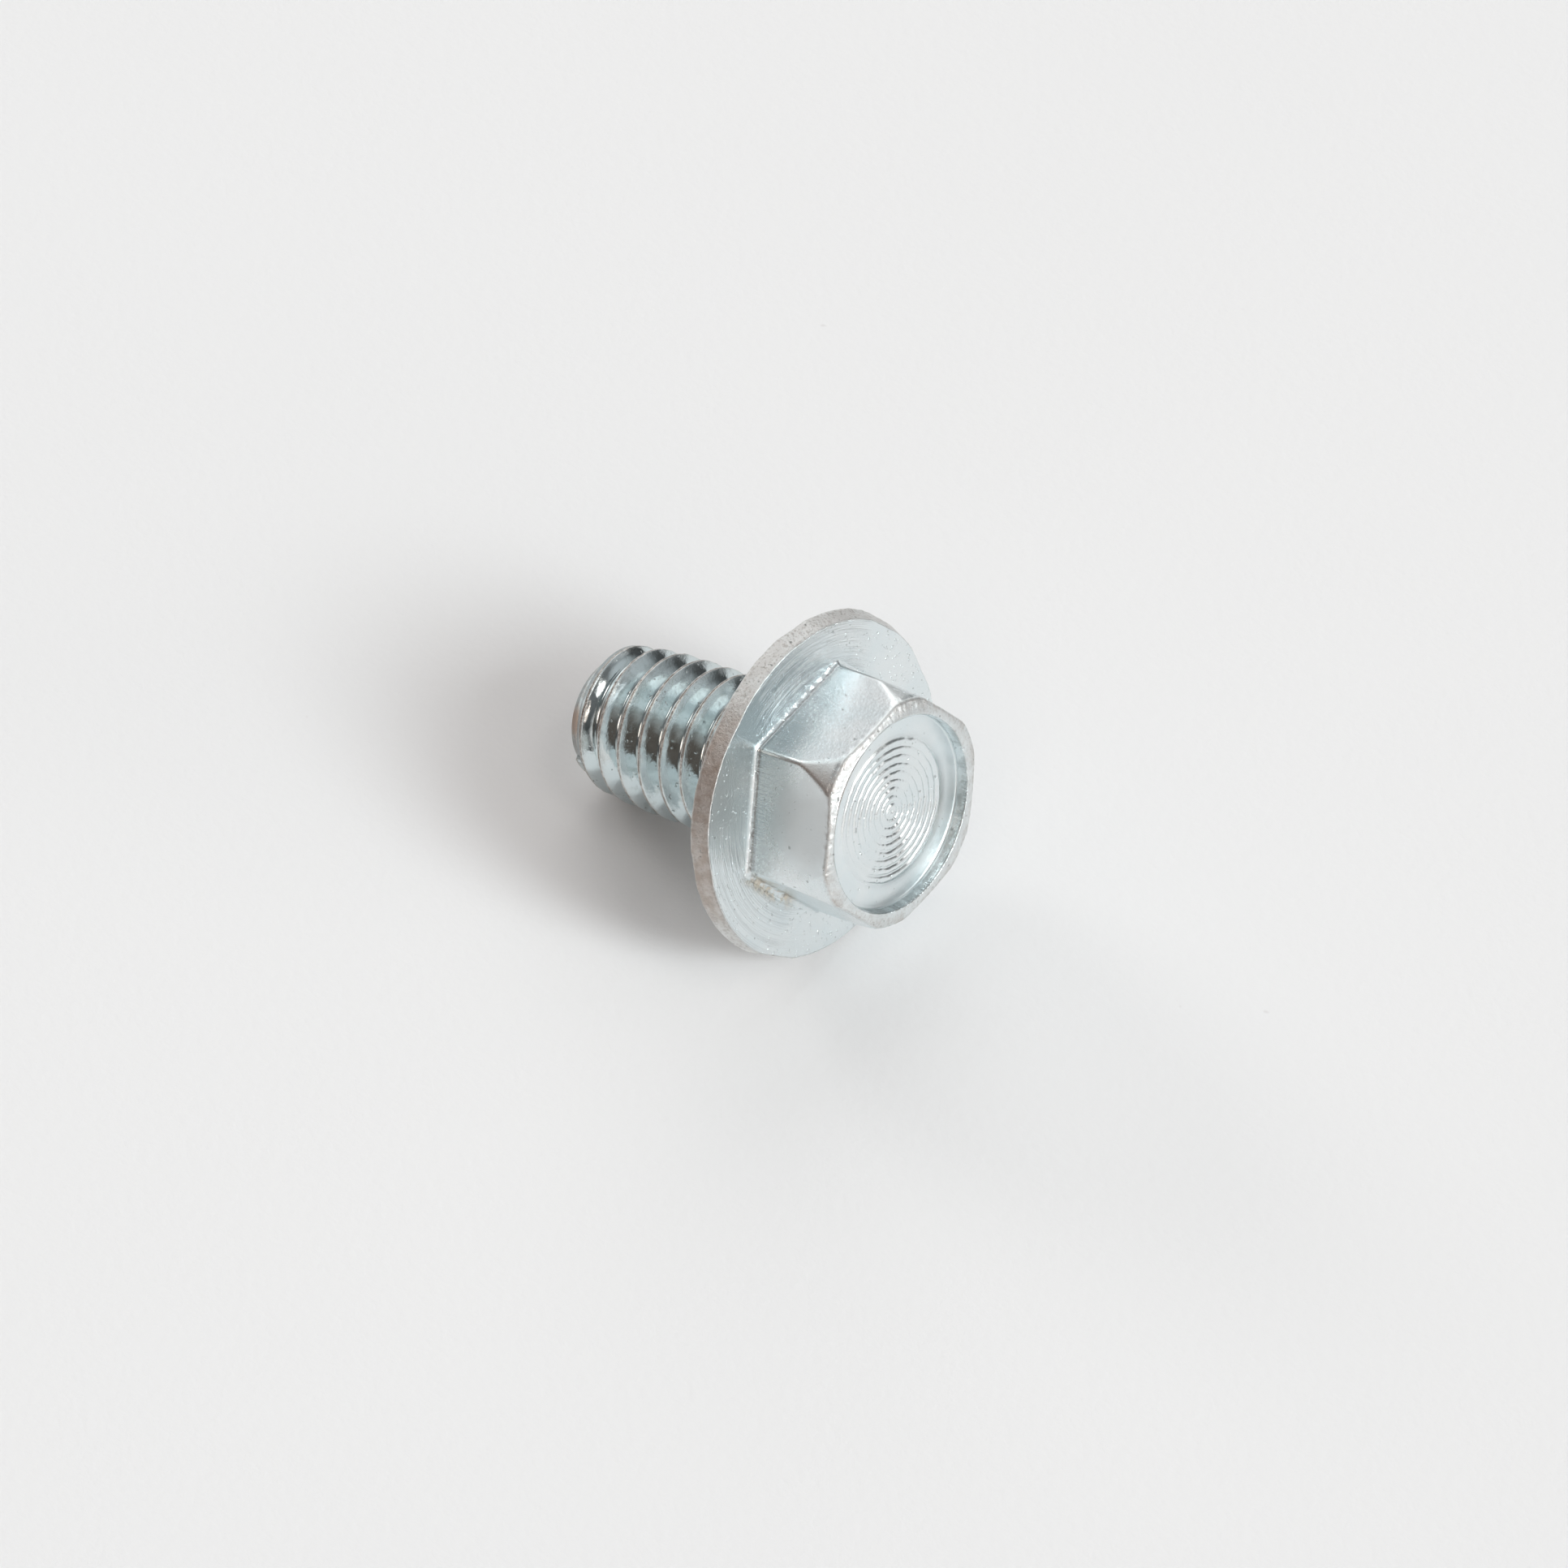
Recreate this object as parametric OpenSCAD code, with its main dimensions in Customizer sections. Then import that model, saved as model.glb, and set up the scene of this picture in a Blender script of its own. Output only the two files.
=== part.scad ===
// Short screw with a hexagon head on a round flange, forged in one piece with a rolled thread.
// It lies at rest on the edge of its flange and on the tip of its thread, with the head raised.
// Its own axis runs from the tip to the head, and the bearing face of the flange is at height zero.

/* [Thread] */
// diameter over the crests of the thread
thread_d = 5.9; // [5.5:0.05:7]
// distance from one crest to the next
thread_pitch = 1; // [0.8:0.05:1.25]
// length from the bearing face to the tip
shank_l = 9.45; // [7:0.05:25]
// how far the edge of the flat end lies below the root of the thread
tip_drop = 0.19; // [0.1:0.01:0.8]
// steepness of the edge around the flat end
tip_slope = 2.2; // [1:0.1:3]
// length over which the crests grow to their full height
lead_l = 3.6; // [1:0.1:5]
// how far the crests lie below their full height at the tip
lead_drop = 0.36; // [0:0.02:0.4]
// length of the plain neck between the thread and the flange
neck_l = 0.9; // [0.6:0.1:2]
// how far the fillet under the flange reaches past the crests of the thread
fillet_reach = 0.08; // [0.02:0.01:0.15]
// turn of the thread about the axis
thread_turn = 281; // [0:1:359]

/* [Flange] */
// diameter of the flange
flange_d = 12.8; // [12:0.05:18]
// thickness of the flange at its edge
flange_t = 0.72; // [0.5:0.02:1.5]
// rise of the flange from its edge to the hexagon
flange_rise = 0.02; // [0:0.01:0.5]
// how much further in the head side of the edge lies than the bearing side
edge_taper = 0.2; // [0:0.01:0.25]
// radius of the edge on the bearing side
edge_r = 0.12; // [0.05:0.01:0.14]
// radius of the edge on the head side
front_r = 0.08; // [0.04:0.01:0.3]
// depth of the small flat on the edge that keeps the screw from rolling
rest_flat = 0.03; // [0.02:0.01:0.08]

/* [Hexagon] */
// width across the flats
hex_af = 8; // [7:0.05:9]
// height of the top above the bearing face
head_h = 4.3; // [3:0.05:8]
// slope of the chamfer on the top corners
chamfer_deg = 16; // [10:1:30]
// how far the corners are cut back at the top
corner_cut = 0.37; // [0.1:0.01:0.5]
// length over which the corners fill out towards the flange
corner_l = 1.5; // [0.5:0.1:2]
// width of the bevel at the foot of the flats
foot_w = 0.15; // [0.05:0.01:0.3]
// turn of the hexagon about the axis
hex_turn = 35; // [0:1:59]

/* [Recess] */
// least width of the wall around the recess
wall_w = 0.375; // [0.2:0.005:1]
// width of the flat lip between the recess and the chamfer
lip_w = 0.1; // [0.04:0.01:0.15]
// depth of the recess at its wall
recess_depth = 0.48; // [0.2:0.02:1]
// slope of the recess wall
recess_draft = 8; // [2:1:20]
// width of the bevel between the wall and the floor
recess_bevel = 0.12; // [0.05:0.01:0.2]
// number of rings on the floor
ring_count = 9; // [3:1:10]
// distance between the rings
ring_step = 0.3; // [0.15:0.01:0.3]
// height of the rings
ring_h = 0.045; // [0.01:0.005:0.06]

/* [Hidden] */
// facets around the round shapes and around one turn of the thread
$fn = 120;
TURN = 36;
// overlap that joins neighbouring solids
JOIN = 0.2;
steel = [0.78, 0.8, 0.82];

flange_r = flange_d / 2;
front_edge_r = flange_r - edge_taper;
thread_r = thread_d / 2;

// sections of the sharp triangle that the thread form is cut from
tri_h = thread_pitch * cos(30);
flank_depth = tri_h * 5 / 8;
root_depth = tri_h * 17 / 24;
root_r = thread_r - root_depth;
tip_r = root_r - tip_drop;
neck_r = thread_r - tri_h * 3 / 8;
neck_low_r = (root_r + neck_r) / 2;
neck_fillet = thread_r + fillet_reach - neck_r;
crest_half = thread_pitch / 16;
root_half = thread_pitch / 8;

// one pitch of the thread form as distance along the axis and depth below the crest, root first
FORM = [
    [0, root_depth],
    [root_half, flank_depth],
    [thread_pitch / 2 - crest_half, 0],
    [thread_pitch / 2 + crest_half, 0],
    [thread_pitch - root_half, flank_depth]
];
COLS = len(FORM);
// least step along the axis between the lines of the form where the tip cuts them short
SKIN = thread_pitch / 25;
// the helix begins with its first crest at the flat end and stops short of the neck
helix_start = SKIN - thread_pitch / 2;
helix_l = shank_l - neck_l - 2 * SKIN - thread_pitch - helix_start;
ROWS = floor(TURN * helix_l / thread_pitch);
RUNOUT = TURN / 2;

// radius that the tip allows at a distance from the flat end
function lead_at(s) = thread_r - lead_drop * pow(max(0, 1 - s / lead_l), 2);
function edge_at(s) = tip_r + tip_slope * s;
// radius that the run-out allows at a row of the helix
function runout_at(i) = thread_r - (thread_r - neck_r) * max(0, min(1, (i - ROWS + RUNOUT) / RUNOUT));
function polar(r, turns, z) = [r * cos(360 * turns), r * sin(360 * turns), z];
// point of the thread's surface on one row of the helix and one line of the form
function thread_at(i, k) =
    let (s = max(helix_start + thread_pitch * i / TURN + FORM[k][0], SKIN * (k + 1)))
    let (r = min(thread_r - FORM[k][1], lead_at(s), edge_at(s), runout_at(i)))
    polar(r, i / TURN, s - shank_l);

thread_points = concat(
    [for (i = [0 : ROWS]) for (k = [0 : COLS - 1]) thread_at(i, k)],
    [for (i = [ROWS + 1 : ROWS + TURN]) thread_at(i, 0)],
    [for (i = [0 : TURN - 1]) polar(tip_r, i / TURN, -shank_l)],
    [for (i = [0 : TURN - 1]) polar(root_r - SKIN, (ROWS + i) / TURN, JOIN - neck_l)]
);
// numbers of the points, where the last line of a row is the first line one turn on
EDGE_AT = (ROWS + 1) * COLS;
TIP_AT = EDGE_AT + TURN;
TOP_AT = TIP_AT + TURN;
function at(i, k) = k == COLS ? at(i + TURN, 0) : i > ROWS ? EDGE_AT + i - ROWS - 1 : i * COLS + k;
function tip_at(i) = TIP_AT + i % TURN;
function top_at(i) = TOP_AT + i % TURN;
// faces of the small wall where the form begins or ends at one row
function wall(i, apex) = concat(
    [[apex, at(i, COLS), at(i, 0)]],
    [for (k = [0 : floor(COLS / 2) - 1]) [at(i, COLS - k), at(i, COLS - k - 1), at(i, k + 1), at(i, k)]]
);

thread_faces = concat(
    [for (i = [0 : ROWS - 1]) for (k = [0 : COLS - 1]) [at(i, k), at(i, k + 1), at(i + 1, k + 1)]],
    [for (i = [0 : ROWS - 1]) for (k = [0 : COLS - 1]) [at(i, k), at(i + 1, k + 1), at(i + 1, k)]],
    [for (i = [0 : TURN - 1]) [tip_at(i), at(i, 0), at(i + 1, 0)]],
    [for (i = [0 : TURN - 1]) [tip_at(i), at(i + 1, 0), tip_at(i + 1)]],
    [for (i = [0 : TURN - 1]) [at(ROWS + i, 0), top_at(i), top_at(i + 1)]],
    [for (i = [0 : TURN - 1]) [at(ROWS + i, 0), top_at(i + 1), at(ROWS + i + 1, 0)]],
    wall(0, tip_at(0)),
    [for (face = wall(ROWS, top_at(0))) [for (j = [len(face) - 1 : -1 : 0]) face[j]]],
    [[for (i = [0 : TURN - 1]) tip_at(i)]],
    [[for (i = [TURN - 1 : -1 : 0]) top_at(i)]]
);

hex_r = hex_af / 2 / cos(30);
foot_z = flange_t + flange_rise;
recess_r = hex_af / 2 - wall_w;
chamfer_r = recess_r + lip_w;
corner_r = hex_r - corner_cut;
function chamfer_z(r) = head_h - (r - chamfer_r) * tan(chamfer_deg);
// radius just outside the corners, and the height at which the cone on the corners passes it
outer_r = hex_r + JOIN / 4;
outer_z = chamfer_z(corner_r) - corner_l * (outer_r - corner_r) / corner_cut;
recess_z = head_h - recess_depth;
floor_r = recess_r - recess_depth * tan(recess_draft);
ring_r = min(ring_step, (floor_r - 2 * recess_bevel) / ring_count);

// distance of a thread point below the axis as the screw lies
function below(p) = p[0] * cos(thread_turn) - p[1] * sin(thread_turn);
// height of the middle of the edge's rounding above the floor
edge_z = edge_r - rest_flat;
// tilt at which the floor meets the flat on the flange's edge and one point of the thread
function tilt_at(p) =
    let (dz = edge_r - p[2], dr = flange_r - edge_r - below(p))
    atan2(dr, dz) + asin(edge_z / norm([dz, dr]));
tilt = min([for (p = thread_points) tilt_at(p)]);
rest_z = edge_z + (flange_r - edge_r) * cos(tilt) - edge_r * sin(tilt);
// radius of the hexagon's top edge in one direction
function top_r(a) = min(corner_r, hex_af / 2 / cos((a - hex_turn + 360) % 60 - 30));
// reach of the head and the tip along the floor, so that the outline is centred
function reach_at(a) = top_r(a) * cos(a) * sin(tilt) + chamfer_z(top_r(a)) * cos(tilt);
head_reach = max([for (a = [-60 : 60]) reach_at(a)]);
tip_reach = tip_r * sin(tilt) + shank_l * cos(tilt);
rest_x = (tip_reach - head_reach) / 2;

// threaded shank from the flat end up into the neck
module thread()
    color(steel)
    rotate([0, 0, thread_turn])
    polyhedron(thread_points, thread_faces);

// section of the flange with its rounded edges
module flange_section() {
    polygon([
        [0, 0],
        [flange_r - edge_r, 0],
        [flange_r, edge_r],
        [front_edge_r, flange_t - front_r],
        [front_edge_r - front_r, flange_t],
        [hex_r, foot_z],
        [0, foot_z]
    ]);
    translate([flange_r - edge_r, edge_r]) circle(edge_r);
    translate([front_edge_r - front_r, flange_t - front_r]) circle(front_r);
}

// section of the neck with its fillet against the flange and its cone where the thread runs out
module neck_section() {
    polygon([
        [0, -neck_l],
        [neck_low_r, -neck_l],
        [neck_r, neck_r - neck_low_r - neck_l],
        [neck_r, JOIN],
        [0, JOIN]
    ]);
    difference() {
        translate([neck_r - JOIN, -neck_fillet]) square([neck_fillet + JOIN, neck_fillet + JOIN]);
        translate([neck_r + neck_fillet, -neck_fillet]) circle(neck_fillet);
    }
}

// slab under the floor that leaves the small flat on the flange's edge
module flat_cut()
    translate([flange_r - edge_r, 0, edge_r])
    rotate([0, 90 + tilt, 0])
    translate([-flange_t, -flange_r / 2, edge_z])
    cube([2 * flange_t, flange_r, flange_t]);

// round flange with its neck
module flange()
    color(steel)
    difference() {
        rotate_extrude() {
            flange_section();
            neck_section();
        }
        flat_cut();
    }

// bevel around the foot of the flats, as a six-sided frustum
module foot() {
    low_r = hex_r + (foot_w + JOIN) / cos(30);
    high_r = hex_r - JOIN / cos(30);
    points = concat(
        [for (k = [0 : 5]) polar(low_r, k / 6, foot_z - JOIN)],
        [for (k = [0 : 5]) polar(high_r, k / 6, foot_z + foot_w + JOIN)]
    );
    sides = [for (k = [0 : 5]) [k, k + 6, (k + 1) % 6 + 6, (k + 1) % 6]];
    color(steel)
    polyhedron(points, concat(sides, [[for (k = [0 : 5]) k], [for (k = [11 : -1 : 6]) k]]));
}

// hexagon with the chamfer around its top and the steep cone that rounds its corners
module hexagon()
    color(steel)
    intersection() {
        translate([0, 0, flange_t / 2]) cylinder(h = head_h, r = hex_r, $fn = 6);
        rotate_extrude() polygon([
            [0, 0],
            [outer_r, 0],
            [outer_r, outer_z],
            [corner_r, chamfer_z(corner_r)],
            [chamfer_r, head_h],
            [0, head_h]
        ]);
    }

// round recess in the top, with rings on its floor
module recess() {
    rings = [for (k = [0 : 2 * ring_count]) [ring_r * k / 2, recess_z + (k % 2) * ring_h]];
    color(steel)
    rotate_extrude() polygon(concat(rings, [
        [floor_r - recess_bevel, recess_z],
        [floor_r, recess_z + recess_bevel],
        [recess_r, head_h],
        [recess_r + JOIN * tan(recess_draft), head_h + JOIN],
        [0, head_h + JOIN]
    ]));
}

// the screw as it lies, with its axis raised towards the head
module screw()
    translate([rest_x, 0, rest_z])
    rotate([0, 90 - tilt, 0]) {
        thread();
        difference() {
            union() {
                flange();
                rotate([0, 0, hex_turn]) {
                    foot();
                    hexagon();
                }
            }
            recess();
        }
    }

screw();
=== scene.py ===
"""A zinc plated flange screw on a pale floor: its detailed skin, its material, the light and the camera."""
from types import SimpleNamespace

import bpy
import numpy as np
from mathutils import Matrix


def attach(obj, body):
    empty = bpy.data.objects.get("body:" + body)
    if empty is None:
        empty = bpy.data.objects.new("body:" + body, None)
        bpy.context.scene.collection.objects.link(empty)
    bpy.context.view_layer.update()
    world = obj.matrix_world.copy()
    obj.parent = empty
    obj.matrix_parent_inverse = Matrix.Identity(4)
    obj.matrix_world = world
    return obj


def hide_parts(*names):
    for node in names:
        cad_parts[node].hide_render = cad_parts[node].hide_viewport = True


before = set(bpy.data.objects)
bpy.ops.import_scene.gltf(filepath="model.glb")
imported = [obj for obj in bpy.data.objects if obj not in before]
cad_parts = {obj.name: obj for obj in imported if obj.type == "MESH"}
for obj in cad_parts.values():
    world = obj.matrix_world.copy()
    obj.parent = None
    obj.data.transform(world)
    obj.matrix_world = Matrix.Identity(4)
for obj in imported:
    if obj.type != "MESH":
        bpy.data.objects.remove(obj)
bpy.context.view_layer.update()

MM = 0.001

# Sizes of the screw in millimetres, in its own frame: axis along z, bearing face at zero, tip below
THREAD_R = 2.95
PITCH = 1.0
SHANK_L = 9.45
TIP_DROP = 0.19
TIP_SLOPE = 2.2
LEAD_L = 3.6
LEAD_DROP = 0.36
NECK_L = 0.9
FILLET_REACH = 0.08
THREAD_TURN = np.radians(281)
FLANGE_R = 6.4
FLANGE_T = 0.72
FLANGE_RISE = 0.02
EDGE_TAPER = 0.2
EDGE_R = 0.12
FRONT_R = 0.08
HEX_AF = 8.0
HEAD_H = 4.3
CHAMFER_DEG = 16
CORNER_CUT = 0.37
CORNER_L = 1.5
HEX_TURN = np.radians(35)
WALL_W = 0.375
LIP_W = 0.1
RECESS_DEPTH = 0.48
RECESS_DRAFT = np.tan(np.radians(5))
RING_COUNT = 9
RING_STEP = 0.3
RING_H = 0.05

# Roundings that only the skin has
CORNER_R = 0.24
CORNER_BLEND = 0.03
TOP_EDGE_R = 0.15
LIP_R = 0.04
FOOT_R = 0.22
WALL_FOOT_R = 0.06
# How far the chamfer ends inside the hexagon, and how much the flats lean out at their foot
LEDGE_IN = TOP_EDGE_R * 0.62
FLAT_LEAN = 0.02
# How far the hexagon lies off the axis
HEX_SHIFT = np.array([0.08, 0.08, 0.0])
# End face of the tip: width of its flat edge, then its shallow dish
FACE_EDGE_W = 0.1
DISH_R = 0.6
DISH_EDGE_DEPTH = 0.1
DISH_DEPTH = 0.12
# Ends of the thread: where it starts and stops short of the neck, and how far its form is spread at the tip
THREAD_START = PITCH / 25 - PITCH / 2
THREAD_GAP = 0.08
TIP_SPREAD = 0.16
# Depth down to which the form counts as its crest, before and after the crest is made ragged
CREST_DEPTH = 0.05
RAGGED_DEPTH = 0.06

# How the screw lies: tilt of its axis, and where the middle of the bearing face is
TILT = np.radians(21.9472)
REST_X = 2.07744
REST_Z = 5.87003
# Degrees to each side of the resting place over which the rim's unevenness grows
REST_CALM = 25

# Where the rim lies off its circle: middle and half width in degrees, and how far out in millimetres
RIM_SWELLS = ((205, 50, -0.13), (165, 30, -0.06), (95, 50, -0.05))
FRONT_SWELLS = ((330, 80, 0.14), (245, 50, 0.03))
# Small flats around the rim as their middle and half their width in degrees
RIM_FLATS = ((100, 9), (128, 7), (171, 6), (212, 7), (262, 6), (318, 8))

# Seeded waves around the screw: lowest and highest count, size in millimetres, and how fast they fall off
RING_DRIFT = (2, 40, 0.013, 0.7)
RIM_ROUGHNESS = (20, 110, 0.005, 0.3)
RIM_BITES = (30, 160, 0.008, 0.2)
LEDGE_DROP = (24, 120, 0.006, 0.2)
FOOT_UNEVENNESS = (12, 70, 0.008, 0.2)
# Seeded waves along the thread, the second with its size as a share of the crest's depth
CREST_RAGGEDNESS = (40, 600, 0.006, 0.2)
CREST_DIP = (10, 60, 0.35, 0.4)

# Fineness of the mesh: steps around the recess, the head and one turn of the thread, rows per ring and flat
RECESS_STEPS = 200
HEAD_STEPS = 720
TURN_STEPS = 120
RING_ROWS = 8
FLAT_ROWS = 24
# How much closer the steps lie at the corners of the hexagon, and the width of the rows beside roundings
CORNER_CROWDING = 0.09
SUPPORT = 0.025

# Sizes that follow from those above
TRI_H = PITCH * np.cos(np.radians(30))
FLANK_DEPTH = TRI_H * 5 / 8
ROOT_DEPTH = TRI_H * 17 / 24
ROOT_R = THREAD_R - ROOT_DEPTH
TIP_R = ROOT_R - TIP_DROP
NECK_R = THREAD_R - TRI_H * 3 / 8
NECK_FILLET = THREAD_R + FILLET_REACH - NECK_R
FOOT_Z = FLANGE_T + FLANGE_RISE
RECESS_R = HEX_AF / 2 - WALL_W
CHAMFER_R = RECESS_R + LIP_W
CHAMFER_SLOPE = np.tan(np.radians(CHAMFER_DEG))
CORNER_TOP_R = HEX_AF / 2 / np.cos(np.pi / 6) - CORNER_CUT
CORNER_Z = HEAD_H - (CORNER_TOP_R - CHAMFER_R) * CHAMFER_SLOPE
RECESS_Z = HEAD_H - RECESS_DEPTH
FLOOR_R = RECESS_R - RECESS_DEPTH * RECESS_DRAFT
RINGS_R = RING_COUNT * RING_STEP

MASKS = ("rim", "flange", "flats", "edges", "recess", "crest", "thread")

rng = np.random.default_rng(7)


class Skin:
    """Points, faces and region masks of the screw's surface, gathered patch by patch."""

    def __init__(self):
        self.points = []
        self.faces = []
        self.masks = {name: [] for name in MASKS}
        self.count = 0

    def add(self, points, faces, **masks):
        self.points.append(points)
        self.faces.extend([int(i) + self.count for i in face] for face in faces)
        for name in MASKS:
            self.masks[name].append(np.broadcast_to(masks.get(name, 0.0), len(points)))
        self.count += len(points)


class Rows:
    """Rows of a turned surface, each with its masks and its share of the hexagon's shift."""

    def __init__(self):
        self.places = []
        self.shifts = []
        self.masks = []

    def add(self, r, z, shift=0.0, **masks):
        self.places.append((r, z))
        self.shifts.append(shift)
        self.masks.append(masks)

    def into(self, skin, turn):
        points, quads = revolve(self.places, turn)
        points = points + np.repeat(self.shifts, len(turn))[:, None] * HEX_SHIFT
        masks = {name: np.repeat([mask.get(name, 0.0) for mask in self.masks], len(turn)) for name in MASKS}
        skin.add(points, quads, **masks)


def waves(lowest, highest, size, fall):
    """A smooth random function of the angle, as a sum of seeded waves."""
    counts = np.arange(lowest, highest + 1)
    heights = rng.normal(size=len(counts)) * (lowest / counts) ** fall
    heights *= size / np.sqrt(np.sum(heights ** 2) / 2)
    shifts = rng.uniform(0, 2 * np.pi, len(counts))
    return lambda turn: np.cos(np.multiply.outer(turn, counts) + shifts) @ heights


def arc(x, y, radius, first, last, steps):
    """Points of an arc in the section, with its angles in degrees."""
    turn = np.radians(np.linspace(first, last, steps))
    return [(x + radius * np.cos(t), y + radius * np.sin(t)) for t in turn]


def revolve(rows, turn):
    """Points and quads of a surface from rows of radius and height over the angles in turn."""
    points = []
    for r, z in rows:
        r = np.broadcast_to(r, turn.shape)
        z = np.broadcast_to(z, turn.shape)
        points.append(np.stack([r * np.cos(turn), r * np.sin(turn), z], 1))
    n = len(turn)
    j = np.arange(n)
    k = (j + 1) % n
    starts = n * np.arange(len(rows) - 1)
    quads = [np.stack([i + j, i + n + j, i + n + k, i + k], 1) for i in starts]
    return np.concatenate(points), np.concatenate(quads)


def hexagon_r(turn):
    """Radius of the hexagon with rounded corners over the angle."""
    apothem = HEX_AF / 2
    off = np.mod(turn - HEX_TURN, np.pi / 3) - np.pi / 6
    flat = apothem / np.cos(off)
    middle = (apothem - CORNER_R) / np.cos(np.pi / 6)
    away = np.pi / 6 - np.abs(off)
    inside = np.maximum(CORNER_R ** 2 - (middle * np.sin(away)) ** 2, 0)
    corner = middle * np.cos(away) + np.sqrt(inside)
    reach = np.arctan((apothem - CORNER_R) * np.tan(np.pi / 6) / apothem)
    return np.where(np.abs(off) < reach, flat, corner)


def cut_corners(hexagon, z):
    """Radius of the hexagon at a height, where the steep cone cuts its corners back towards the top."""
    cone = CORNER_TOP_R + (CORNER_Z - z) * CORNER_CUT / CORNER_L
    return (hexagon + cone - np.sqrt((hexagon - cone) ** 2 + CORNER_BLEND ** 2)) / 2


def turned_away(turn, middle):
    """Angle from a middle in degrees, between minus and plus half a turn."""
    return np.mod(turn - np.radians(middle) + np.pi, 2 * np.pi) - np.pi


def swells(turn, places):
    """Smooth swells of the rim around the places given."""
    off = np.zeros_like(turn)
    for middle, half, size in places:
        share = np.clip(turned_away(turn, middle) / np.radians(half), -1, 1)
        off = off + size * np.cos(share * np.pi / 2) ** 2
    return off


def rim_offset(turn):
    """How far the rim lies outside or inside its true circle."""
    off = swells(turn, RIM_SWELLS)
    for middle, half in RIM_FLATS:
        away = turned_away(turn, middle)
        half = np.radians(half)
        chord = FLANGE_R * (np.cos(half) / np.cos(np.clip(away, -half, half)) - 1)
        off = off + np.where(np.abs(away) < half, chord, 0)
    return off


def ring_rows(turn):
    """Rows of the rings on the recess floor: small arches that drift a little around the turn."""
    drift = [waves(*RING_DRIFT) for _ in range(RING_COUNT + 1)]
    rows = []
    for i in range(1, RING_COUNT * RING_ROWS + 1):
        ring, part = divmod(i, RING_ROWS)
        part = part / RING_ROWS
        bend = (1 - part) * drift[ring](turn) + part * drift[min(ring + 1, RING_COUNT)](turn)
        # The drift fades towards the middle, over one and a half rings
        fade = min(1, (i / RING_ROWS) / 1.5)
        rise = RING_H * (1 - (2 * part - 1) ** 2)
        rows.append((RING_STEP * i / RING_ROWS + bend * fade, RECESS_Z + rise))
    return rows


def add_recess(skin):
    """Floor of the recess with its rings, the foot of its wall, and the wall up to the lip."""
    turn = np.linspace(0, 2 * np.pi, RECESS_STEPS, endpoint=False)
    rows = ring_rows(turn)
    plain = FLOOR_R - WALL_FOOT_R
    rows += [(plain - inset, RECESS_Z) for inset in (0.5, 0.2, SUPPORT)]
    rows += arc(plain, RECESS_Z + WALL_FOOT_R, WALL_FOOT_R, -90, -8, 7)
    rows += [(FLOOR_R + 0.02, RECESS_Z + 0.18), (RECESS_R - 0.01, HEAD_H - LIP_R - SUPPORT)]
    rows += arc(RECESS_R + LIP_R, HEAD_H - LIP_R, LIP_R, 172, 90, 5)
    points, quads = revolve(rows, turn)
    skin.add(points, quads, recess=1.0)
    middle = [[0, 0, RECESS_Z + RING_H * 0.3]]
    j = np.arange(RECESS_STEPS)
    fan = np.stack([j, (j + 1) % RECESS_STEPS, np.full(RECESS_STEPS, RECESS_STEPS)], 1)
    skin.add(np.concatenate([points[:RECESS_STEPS], middle]), fan, recess=1.0)


def add_hexagon_rows(rows, hexagon, drop, uneven):
    """Lip, chamfer, rounded top edge, flats and foot of the hexagon, from the top down."""
    outline = cut_corners(hexagon, CORNER_Z)
    rows.add(RECESS_R + LIP_R, HEAD_H, edges=0.4)
    rows.add(CHAMFER_R - 0.02, HEAD_H, shift=0.5, edges=0.4)
    ledge = outline - LEDGE_IN
    for part in (0.06, 0.35, 0.7, 1.0):
        r = CHAMFER_R + (ledge - CHAMFER_R) * part
        z = HEAD_H - (r - CHAMFER_R) * CHAMFER_SLOPE + drop * part
        rows.add(r, z, shift=1.0, edges=0.4 + 0.4 * part)
    top = HEAD_H - (ledge - CHAMFER_R) * CHAMFER_SLOPE
    round_top = np.sin(np.radians(90 - CHAMFER_DEG))
    angles = (62, 50, 38, 26, 13, 0)
    for angle in angles:
        t = np.radians(angle)
        share = angle / angles[0]
        r = outline + TOP_EDGE_R * (np.cos(t) - 1) + drop * 0.5
        z = top + TOP_EDGE_R * (np.sin(t) - round_top)
        rows.add(r, z, shift=1.0, edges=share, flats=1 - share)
    low = FOOT_Z + FOOT_R
    tall = top - TOP_EDGE_R - low
    for part in np.linspace(0.02, 0.98, FLAT_ROWS):
        z = low + tall * (1 - part)
        rows.add(cut_corners(hexagon, z) + FLAT_LEAN * part, z, shift=1.0, flats=1.0)
    for r, z in arc(FOOT_R + FLAT_LEAN, FOOT_R, FOOT_R, 180, 268, 7):
        # Only the lowest rows of the foot are uneven
        r = hexagon + r + uneven * (z < 0.1)
        rows.add(r, FOOT_Z + z, shift=1.0, flats=0.5, flange=0.5)


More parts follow.
